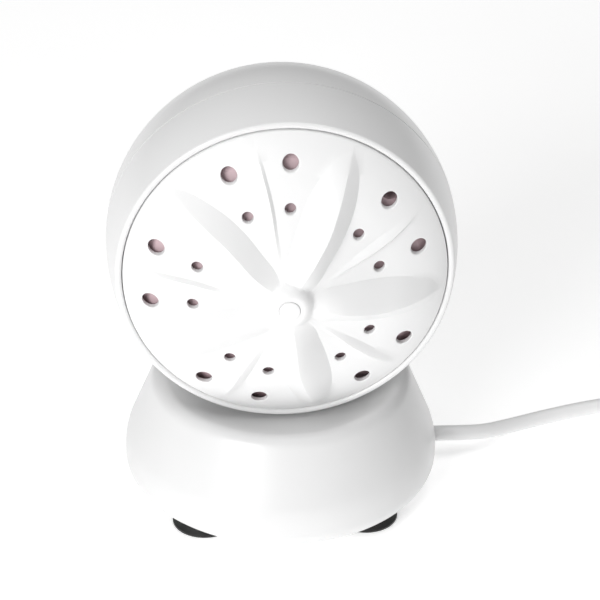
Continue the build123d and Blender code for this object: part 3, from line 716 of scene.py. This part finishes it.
# ---- Front housing: a bowed ring with a round lip, its seam edge eased into a fine groove
SEAM_Z = -21.5
BOW = 85.3                  # radius of the bowed side
SIDE_STEPS = 16
BALL_RADIUS = 54.5
WALL = 2.2
FACE_BORE = 49.9
LIP = 0.9                   # the face's rim is this high a round
LIP_STEPS = 10
GROOVE = 0.45               # the outer edge at the seam is cut back and in by this
LEDGE_BORE = 46.5           # the ledge under the bulkhead's gasket
LEDGE_FRONT = -8.0
LEDGE_BACK = -10.0
WALL_BEND = -16.0           # the wall's inside changes its slope here
POST_CIRCLE = 44.0
POST_ANGLES = (43.5, 136.5, 222.5, 317.5)
# radius and height of a post with a screw's hole in each end
HOUSING_POST = (
    (1.35, -7.5),
    (4.0, -7.5),
    (4.0, -33.9),
    (1.35, -33.9),
    (1.35, -23.9),
    (0, -23.9),
    (0, -17.5),
    (1.35, -17.5),
)
# a rib from each post to the wall: outwards from the posts' circle, sideways and in height
RIB_LOW = (3, -1, -18.5)
RIB_HIGH = (8.8, 1, -10)
NECK_RADIUS = 8.0
# the neck's hole in the wall: radius, and distance below the ball's middle
NECK_HOLE = ((0, 40), (NECK_RADIUS, 40), (NECK_RADIUS, 60), (0, 60))


def barrel(z, inset=0.0):
    """The housing's radius at a height in the head frame, on its outside or under its wall."""
    bow = BOW - inset
    return BALL_RADIUS - inset - bow + math.sqrt(bow**2 - (z - SEAM_Z) ** 2)


def rib_box(angle):
    """Points and faces of the rib behind a post."""
    turned = Matrix.Rotation(math.radians(angle), 3, "Z")
    points = [tuple(turned @ Vector((POST_CIRCLE + out, side, height)))
              for out in (RIB_LOW[0], RIB_HIGH[0])
              for side in (RIB_LOW[1], RIB_HIGH[1])
              for height in (RIB_LOW[2], RIB_HIGH[2])]
    faces = [(0, 1, 3, 2), (4, 6, 7, 5), (0, 4, 5, 1), (2, 3, 7, 6), (0, 2, 6, 4), (1, 5, 7, 3)]
    return points, faces


def joined(*shapes):
    """One list of points and one of faces from several shapes."""
    points, faces = [], []
    for shape_points, shape_faces in shapes:
        faces += [tuple(i + len(points) for i in face) for face in shape_faces]
        points += shape_points
    return points, faces


def drill(made, points, faces, place):
    """Takes a shape out of a piece."""
    tool = add_object("drill", placed_mesh("drill", points, faces, place))
    cut = made.modifiers.new("drill", "BOOLEAN")
    cut.object = tool
    cut.operation = "DIFFERENCE"
    cut.solver = "EXACT"
    shaped = made.evaluated_get(bpy.context.evaluated_depsgraph_get())
    made.data = bpy.data.meshes.new_from_object(shaped)
    made.modifiers.clear()
    bpy.data.objects.remove(tool)


def make_front_housing():
    """The ring, turned from its outline and drilled for the neck, and its four posts."""
    start = SEAM_Z + GROOVE
    outer = [start + (-LIP - start) * i / SIDE_STEPS for i in range(SIDE_STEPS + 1)]
    shoulder = barrel(-LIP)
    middle = (shoulder + FACE_BORE) / 2
    half = (shoulder - FACE_BORE) / 2
    turns = [math.pi * i / LIP_STEPS for i in range(1, LIP_STEPS + 1)]
    outline = [(barrel(z), z) for z in outer]
    outline += [(middle + half * math.cos(turn), -LIP + LIP * math.sin(turn)) for turn in turns]
    outline += [(FACE_BORE, LEDGE_FRONT), (LEDGE_BORE, LEDGE_FRONT), (LEDGE_BORE, LEDGE_BACK)]
    outline += [(barrel(z, WALL), z) for z in (LEDGE_BACK, WALL_BEND, SEAM_Z)]
    outline.append((BALL_RADIUS - GROOVE, SEAM_Z))
    made = piece("front_shell", *lathe(outline), HEAD, "root", "white_housing", "front_housing", crease=30)
    hole, hole_faces = lathe(NECK_HOLE, segments=64)
    drill(made, [(x, -down, z + SEAM_Z) for x, z, down in hole], hole_faces, HEAD)
    for number, angle in enumerate(POST_ANGLES, 1):
        post = lathe(HOUSING_POST, POST_SEGMENTS, around(POST_CIRCLE, angle))
        points, faces = joined(post, rib_box(angle))
        piece(f"front_post_{number}", points, faces, HEAD, "root", "white_housing", crease=30)


make_front_housing()

# ---- Base shell: a cone with a soft upper edge round the dish that the head stands over
# radius, height and ease: up the side, in along the dish to the neck's hole, and back underneath
BASE_OUTLINE = (
    (47.7, 12.0),
    (50.0, 12.0),
    (50.0, 16.0, 4.0),
    (40.2, 40.5, 4.5),
    (30.0, 36.72),
    (24.0, 35.25),
    (16.0, 33.8),
    (8.0, 32.95),
    (8.0, 30.7),
    (16.0, 31.5),
    (24.0, 33.0),
    (30.0, 34.4),
    (38.4, 36.9),
    (47.7, 14.6),
)
BASE_SCREWS = ((0.0, 32.0), (0.0, -32.0), (-32.0, 0.0), (32.0, -7.0))
# radius and height of a post with a screw's hole in its foot
POST_OUTLINE = ((1.35, 8.2), (3.6, 8.2), (3.6, 35.4), (0, 35.4), (0, 18.2), (1.35, 18.2))


def make_base_shell():
    """The turned wall and its four posts, as one piece."""
    posts = [lathe(POST_OUTLINE, POST_SEGMENTS, centre) for centre in BASE_SCREWS]
    points, faces = joined(lathe(rounded(*BASE_OUTLINE, steps=10)), *posts)
    piece("base_body", points, faces, BASE, "root", "white_housing", "base_shell", crease=30)


make_base_shell()


# ---- Floor, lights and world
FLOOR_SIZE = 8
FLOOR_GLOW = 0.38
LAMP_DISTANCE = 1.6
# name, direction from the face's middle, size and power
LAMPS = (
    ("key", (-0.6, -0.85, 0.43), 0.7, 13.5),
    ("fill", (-0.5, -1.0, 0.05), 1.0, 4.5),
    ("top", (0.15, 0.1, 1.0), 1.0, 9),
)
WORLD_GLOW = 0.25


def make_floor():
    """A near-white floor with a glow of its own."""
    bpy.ops.mesh.primitive_plane_add(size=FLOOR_SIZE, location=(0, 0, 0))
    floor = bpy.context.object
    floor.name = "floor"
    material, tree, shader = new_material("floor", (0.93, 0.93, 0.93), 0.7)
    vary_colour(tree, shader, noise(tree, 6), (0.92, 0.92, 0.92), (0.94, 0.94, 0.94))
    shader.inputs["Emission Color"].default_value = (1, 1, 1, 1)
    shader.inputs["Emission Strength"].default_value = FLOOR_GLOW
    floor.data.materials.append(material)


def soft_light(name, toward, size, power):
    """A large square lamp that faces the face's middle from a direction."""
    lamp = bpy.data.lights.new(name, "AREA")
    lamp.size = size
    lamp.energy = power
    made = add_object(name, lamp)
    direction = Vector(toward).normalized()
    made.location = face_centre + direction * LAMP_DISTANCE
    made.rotation_mode = "QUATERNION"
    made.rotation_quaternion = direction.to_track_quat("Z", "Y")


make_floor()
for lamp in LAMPS:
    soft_light(*lamp)
world = bpy.data.worlds.new("studio")
world.use_nodes = True
world.node_tree.nodes["Background"].inputs["Color"].default_value = (1, 1, 1, 1)
world.node_tree.nodes["Background"].inputs["Strength"].default_value = WORLD_GLOW
bpy.context.scene.world = world
bpy.context.scene.view_settings.view_transform = "Standard"
